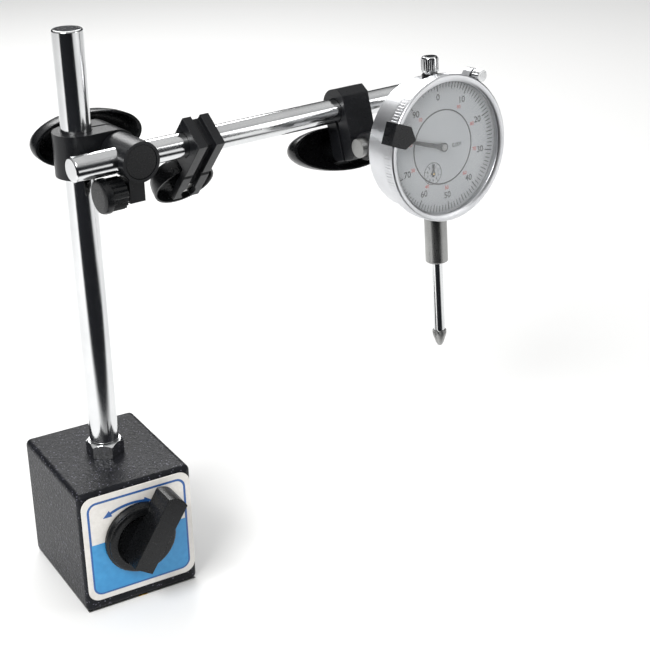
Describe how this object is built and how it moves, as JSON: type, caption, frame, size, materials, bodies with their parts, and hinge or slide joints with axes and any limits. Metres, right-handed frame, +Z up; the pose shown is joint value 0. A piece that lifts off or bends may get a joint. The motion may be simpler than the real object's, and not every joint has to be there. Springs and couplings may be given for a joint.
{
  "type": "dial indicator on magnetic base",
  "caption": "Switchable magnetic base with an upright post, a cross arm on sliding clamps, and a round dial indicator with a plunger spindle on a swivelling lug.",
  "frame": {"origin": "centre of the flat magnetic foot", "axes": "+Z up along the post, +X to the right along the label side, +Y towards the back of the base; the label and switch face -Y"},
  "size_m": [0.1933, 0.0856, 0.234],
  "materials": {
    "painted_steel": "semi-matte hammer paint",
    "cast_black": "matte black",
    "spacer_brass": "satin",
    "bare_steel": "satin",
    "chrome": "polished",
    "black_plastic": "matte",
    "magnet": "rough",
    "satin_aluminium": "satin",
    "dial_enamel": "matte silver",
    "hand_paint": "satin black",
    "printed_film": "satin",
    "clear_crystal": "polished"
  },
  "bodies": {
    "base": {"left_pole": "painted_steel", "right_pole": "painted_steel", "lower_spacer": "spacer_brass", "upper_spacer_front": "spacer_brass", "upper_spacer_rear": "spacer_brass", "front_bush": "spacer_brass", "label_plate": "printed_film", "rear_plug": "bare_steel", "lock_nut": "chrome"},
    "switch": {"switch_knob": "black_plastic", "switch_shaft": "bare_steel", "magnet_block": "magnet", "magnet_shoe_left": "bare_steel", "magnet_shoe_right": "bare_steel", "stop_pin": "bare_steel"},
    "post": {"post": "chrome"},
    "post_clamp": {"post_clamp": "cast_black"},
    "post_wing": {"post_wing_knob": "black_plastic"},
    "eye": {"eye_sleeve": "cast_black", "eye_plug": "black_plastic", "post_wing_screw": "bare_steel"},
    "fine_adjuster": {"fine_adjust_knob": "black_plastic", "fine_adjust_screw": "bare_steel"},
    "arm": {"arm": "chrome"},
    "spare_clamp": {"spare_clamp": "cast_black"},
    "spare_wing": {"spare_wing_knob": "black_plastic", "spare_wing_screw": "bare_steel"},
    "holder_clamp": {"holder_clamp": "cast_black"},
    "holder_wing": {"holder_wing_knob": "black_plastic"},
    "swivel": {"swivel_eye": "cast_black", "holder_wing_screw": "bare_steel"},
    "indicator": {"case": "satin_aluminium", "stem": "bare_steel", "back_cover": "satin_aluminium", "cover_screw_1": "bare_steel", "cover_screw_2": "bare_steel", "cover_screw_3": "bare_steel", "cover_screw_4": "bare_steel", "inner_dial": "dial_enamel", "front_plate": "spacer_brass", "rear_bridge": "spacer_brass", "pillar_left": "spacer_brass", "pillar_right": "spacer_brass", "lug_pin": "bare_steel", "lug_nut": "bare_steel", "return_spring": "bare_steel"},
    "bezel": {"bezel": "satin_aluminium", "crystal": "clear_crystal", "outer_dial": "dial_enamel"},
    "limit_clip": {"limit_clip": "black_plastic"},
    "bezel_screw": {"bezel_screw": "chrome"},
    "spindle": {"spindle": "chrome", "contact_point": "bare_steel", "lifting_cap": "chrome", "guide_pin": "bare_steel"},
    "main_hand": {"main_hand": "hand_paint", "hand_arbor": "bare_steel"},
    "rack_arbor": {"rack_arbor": "spacer_brass"},
    "counter_hand": {"counter_hand": "hand_paint", "counter_arbor": "spacer_brass"}
  },
  "joints": [
    {"name": "switch_turn", "type": "hinge", "parent": "base", "child": "switch", "pos_m": [0, -0.03, 0.03], "axis": [0, -1, 0], "range_deg": [0, 90]},
    {"name": "post_turn", "type": "hinge", "parent": "base", "child": "post", "pos_m": [0, 0, 0.15], "axis": [0, 0, 1], "continuous": true},
    {"name": "post_clamp_slide", "type": "slide", "parent": "post", "child": "post_clamp", "axis": [0, 0, 1], "range_m": [-0.085, 0.036]},
    {"name": "post_wing_turn", "type": "hinge", "parent": "post_clamp", "child": "post_wing", "pos_m": [0.01048, 0.01625, 0.186], "axis": [-0.1097, 0.994, 0], "range_deg": [0, 270]},
    {"name": "eye_turn", "type": "hinge", "parent": "post_clamp", "child": "eye", "pos_m": [0.01414, -0.01695, 0.186], "axis": [-0.1097, 0.994, 0], "range_deg": [-60, 30]},
    {"name": "fine_adjust_turn", "type": "hinge", "parent": "eye", "child": "fine_adjuster", "pos_m": [0.00202, -0.01829, 0.1729], "axis": [0.994, 0.1097, 0], "continuous": true},
    {"name": "arm_slide", "type": "slide", "parent": "eye", "child": "arm", "axis": [0.994, 0.1097, 0], "range_m": [-0.003, 0.014]},
    {"name": "spare_clamp_slide", "type": "slide", "parent": "arm", "child": "spare_clamp", "axis": [0.994, 0.1097, 0], "range_m": [-0.0025, 0.03]},
    {"name": "spare_wing_turn", "type": "hinge", "parent": "spare_clamp", "child": "spare_wing", "pos_m": [0.04235, -0.00083, 0.16748], "axis": [-0.0841, 0.7614, 0.6428], "range_deg": [0, 270]},
    {"name": "holder_clamp_turn", "type": "hinge", "parent": "arm", "child": "holder_clamp", "pos_m": [0.11811, -0.00547, 0.186], "axis": [0.994, 0.1097, 0], "range_deg": [-90, 90]},
    {"name": "holder_wing_turn", "type": "hinge", "parent": "holder_clamp", "child": "holder_wing", "pos_m": [0.11738, 0.00114, 0.16671], "axis": [-0.1049, 0.9505, -0.2924], "range_deg": [0, 270]},
    {"name": "swivel_turn", "type": "hinge", "parent": "holder_clamp", "child": "swivel", "pos_m": [0.12011, -0.02357, 0.17431], "axis": [-0.1049, 0.9505, -0.2924], "range_deg": [-45, 45]},
    {"name": "indicator_tilt", "type": "hinge", "parent": "swivel", "child": "indicator", "pos_m": [0.13522, -0.02191, 0.17431], "axis": [0.994, 0.1097, 0], "range_deg": [-40, 20]},
    {"name": "bezel_turn", "type": "hinge", "parent": "indicator", "child": "bezel", "pos_m": [0.13851, -0.05166, 0.17625], "axis": [-0.1095, 0.9919, -0.0645], "range_deg": [-180, 60]},
    {"name": "limit_clip_turn", "type": "hinge", "parent": "bezel", "child": "limit_clip", "pos_m": [0.13851, -0.05166, 0.17625], "axis": [-0.1095, 0.9919, -0.0645], "range_deg": [-50, 28]},
    {"name": "bezel_screw_turn", "type": "hinge", "parent": "indicator", "child": "bezel_screw", "pos_m": [0.15769, -0.04083, 0.20167], "axis": [-0.1095, 0.9919, -0.0645], "range_deg": [0, 180]},
    {"name": "spindle_slide", "type": "slide", "parent": "indicator", "child": "spindle", "axis": [-0.0071, 0.0641, 0.9979], "range_m": [0, 0.0254], "stiffness_N_per_m": 30, "springref_m": -0.02},
    {"name": "main_hand_turn", "type": "hinge", "parent": "indicator", "child": "main_hand", "pos_m": [0.13851, -0.05166, 0.17625], "axis": [-0.1095, 0.9919, -0.0645], "range_deg": [0, 3601]},
    {"name": "rack_arbor_turn", "type": "hinge", "parent": "indicator", "child": "rack_arbor", "pos_m": [0.14179, -0.04226, 0.17567], "axis": [-0.1095, 0.9919, -0.0645], "range_deg": [-901, 0]},
    {"name": "counter_hand_turn", "type": "hinge", "parent": "indicator", "child": "counter_hand", "pos_m": [0.13231, -0.04797, 0.166], "axis": [-0.1095, 0.9919, -0.0645], "range_deg": [-361, 0]}
  ],
  "couplings": [
    {"joint": "main_hand_turn", "follows": "spindle_slide", "rad_per_m": 2473.7},
    {"joint": "rack_arbor_turn", "follows": "spindle_slide", "rad_per_m": -618.42},
    {"joint": "counter_hand_turn", "follows": "spindle_slide", "rad_per_m": -247.37}
  ]
}
